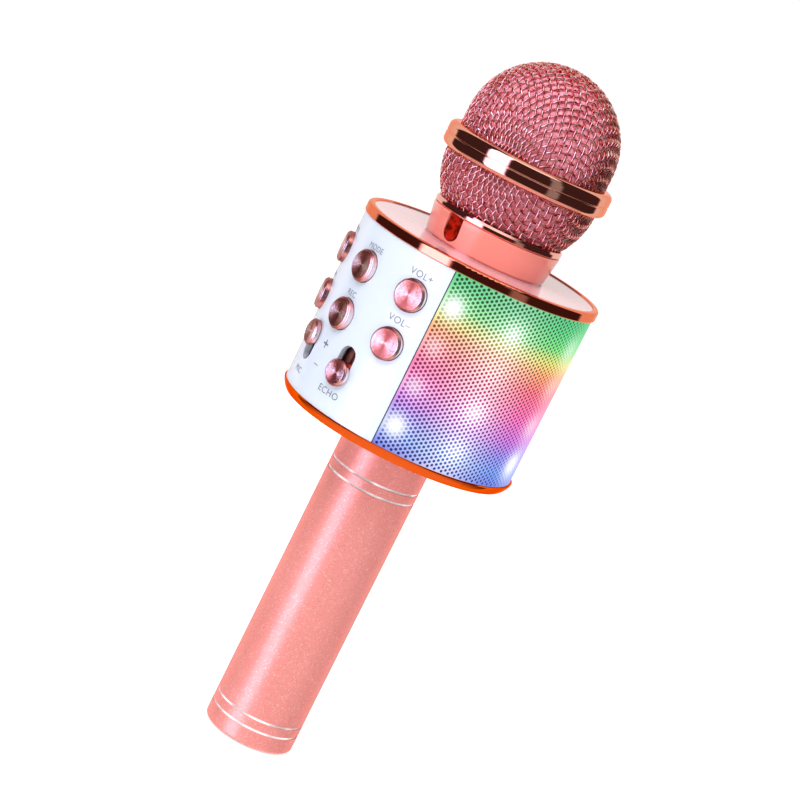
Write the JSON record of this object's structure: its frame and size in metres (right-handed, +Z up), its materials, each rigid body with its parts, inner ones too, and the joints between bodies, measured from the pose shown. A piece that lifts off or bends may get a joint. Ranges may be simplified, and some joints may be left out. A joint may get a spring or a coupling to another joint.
{
  "type": "toy karaoke microphone",
  "caption": "Handheld karaoke microphone with a wire-mesh head, a lit drum-shaped speaker body, a control panel of buttons and sliders, and a round metal handle.",
  "frame": {"origin": "centre of the handle's flat lower end", "axes": "+Z up the handle's axis to the head; -Y through the middle of the control panel; +X to the panel's right"},
  "size_m": [0.081, 0.0825, 0.2411],
  "materials": {
    "handle_paint": "pearlescent rose paint with bright turned grooves",
    "rose_chrome": "polished rose-gold plating",
    "button_metal": "rose-gold spun metal face",
    "panel_white": "gloss",
    "neck_paint": "satin salmon paint",
    "cover_pink": "gloss",
    "grille_sheet": "translucent perforated sheet, lit from behind",
    "wire_mesh": "woven wire, rose plated",
    "foam": "open-cell foam",
    "black_plastic": "moulded",
    "white_plastic": "moulded",
    "board_green": "solder mask",
    "steel": "zinc plated",
    "brass": "turned",
    "rubber": "soft",
    "paper_cone": "pressed paper pulp",
    "ferrite": "sintered",
    "cell_wrap": "heat-shrunk sleeve",
    "led_white": "moulded lens",
    "lead_red": "insulated wire"
  },
  "bodies": {
    "body": {"audio_jack": "black_plastic", "battery_cell": "cell_wrap", "battery_contacts": "brass", "battery_lead": "lead_red", "battery_tray": "white_plastic", "board_chips": "black_plastic", "board_screws": "steel", "bottom_cover": "cover_pink", "bottom_rim": "rose_chrome", "capsule_mount": "rubber", "capsule_pedestal": "black_plastic", "card_socket": "steel", "control_panel": "panel_white", "cover_screws": "steel", "drum_frame": "white_plastic", "end_cap": "black_plastic", "handle_core": "black_plastic", "handle_nut": "brass", "handle_tube": "handle_paint", "key_carrier": "white_plastic", "led_strips": "board_green", "leds": "led_white", "main_board": "board_green", "mic_capsule": "steel", "mic_lead": "lead_red", "neck_collar": "neck_paint", "neck_socket": "black_plastic", "port_board": "board_green", "seam_gaskets": "black_plastic", "slide_controls": "black_plastic", "speaker_basket_left": "steel", "speaker_basket_right": "steel", "speaker_grille": "grille_sheet", "speaker_magnet_left": "ferrite", "speaker_magnet_right": "ferrite", "speaker_screws": "steel", "speaker_surround_left": "rubber", "speaker_surround_right": "rubber", "tact_switches": "black_plastic", "top_cover": "cover_pink", "top_rim": "rose_chrome", "usb_socket": "steel"},
    "head": {"grille_dome": "wire_mesh", "grille_cup": "wire_mesh", "grille_band": "rose_chrome", "grille_base_ring": "rose_chrome", "foam_liner": "foam"},
    "power_button": {"button_power": "button_metal"},
    "play_button": {"button_play": "button_metal"},
    "mode_button": {"button_mode": "button_metal"},
    "record_button": {"button_record": "button_metal"},
    "volume_up_button": {"button_volume_up": "button_metal"},
    "volume_down_button": {"button_volume_down": "button_metal"},
    "microphone_slider": {"slider_microphone": "button_metal"},
    "echo_slider": {"slider_echo": "button_metal"},
    "left_cone": {"speaker_cone_left": "paper_cone"},
    "right_cone": {"speaker_cone_right": "paper_cone"}
  },
  "joints": [
    {"name": "head_lift", "type": "slide", "parent": "body", "child": "head", "axis": [0, 0, 1], "range_m": [0, 0.045]},
    {"name": "power_press", "type": "slide", "parent": "body", "child": "power_button", "axis": [0.5, 0.866, 0], "range_m": [0, 0.0006], "stiffness_N_per_m": 1500},
    {"name": "play_press", "type": "slide", "parent": "body", "child": "play_button", "axis": [0.5, 0.866, 0], "range_m": [0, 0.0006], "stiffness_N_per_m": 1500},
    {"name": "mode_press", "type": "slide", "parent": "body", "child": "mode_button", "axis": [0, 1, 0], "range_m": [0, 0.0006], "stiffness_N_per_m": 1500},
    {"name": "record_press", "type": "slide", "parent": "body", "child": "record_button", "axis": [0, 1, 0], "range_m": [0, 0.0006], "stiffness_N_per_m": 1500},
    {"name": "volume_up_press", "type": "slide", "parent": "body", "child": "volume_up_button", "axis": [-0.5, 0.866, 0], "range_m": [0, 0.0006], "stiffness_N_per_m": 1500},
    {"name": "volume_down_press", "type": "slide", "parent": "body", "child": "volume_down_button", "axis": [-0.5, 0.866, 0], "range_m": [0, 0.0006], "stiffness_N_per_m": 1500},
    {"name": "microphone_level", "type": "slide", "parent": "body", "child": "microphone_slider", "axis": [0, 0, 1], "range_m": [-0.005, 0]},
    {"name": "echo_level", "type": "slide", "parent": "body", "child": "echo_slider", "axis": [0, 0, 1], "range_m": [0, 0.005]},
    {"name": "left_cone_stroke", "type": "slide", "parent": "body", "child": "left_cone", "axis": [-1, 0, 0], "range_m": [-0.0008, 0.0008], "stiffness_N_per_m": 1500},
    {"name": "right_cone_stroke", "type": "slide", "parent": "body", "child": "right_cone", "axis": [1, 0, 0], "range_m": [-0.0008, 0.0008], "stiffness_N_per_m": 1500}
  ]
}
